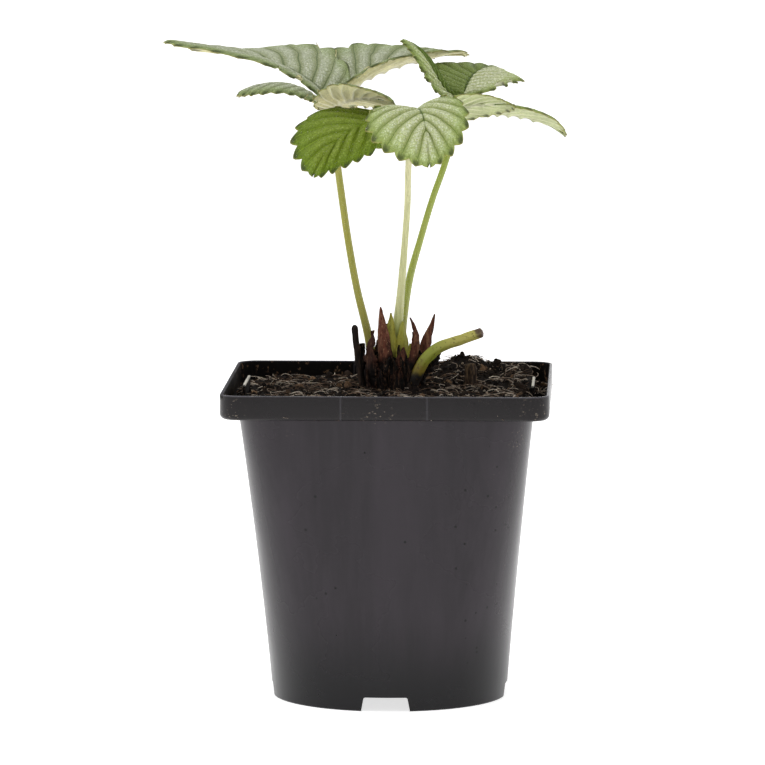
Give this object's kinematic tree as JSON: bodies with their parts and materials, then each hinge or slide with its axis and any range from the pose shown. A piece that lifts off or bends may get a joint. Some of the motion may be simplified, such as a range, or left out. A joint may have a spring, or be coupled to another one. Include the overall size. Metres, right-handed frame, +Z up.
{
  "type": "potted strawberry plant",
  "caption": "Young strawberry plant with toothed, long-stalked leaves growing from a short scaly crown in a square-rimmed plastic nursery pot of peaty soil.",
  "frame": {"origin": "centre of the small flat pad under the pot, on the pot's axis, at the level of the ground it stands on", "axes": "+Z up along the pot's axis; the pot's rim sides run along X and Y; -Y is the side that the picture shows, +X is to the right there"},
  "size_m": [0.1399, 0.1115, 0.2239],
  "materials": {
    "pot": "dark grey moulded plastic, slightly streaked and dusty",
    "soil": "moist dark peat with pale fibres and crumbs",
    "crown": "dry brown papery scales",
    "bud_scale": "fresh green, satin",
    "cut_stalk": "yellow-green, satin",
    "dead_stalk": "blackened, matt",
    "leaf_left": "grey-green, softly hairy",
    "leaf_middle": "bright green, satin",
    "leaf_right": "mid green, softly hairy"
  },
  "bodies": {
    "root": {"pot": "pot", "soil": "soil", "crown": "crown", "bud_scale": "bud_scale", "cut_stalk": "cut_stalk", "dead_stalk": "dead_stalk", "old_stub": "dead_stalk", "leaf_left": "leaf_left", "leaf_middle": "leaf_middle", "leaf_right": "leaf_right"}
  },
  "joints": []
}
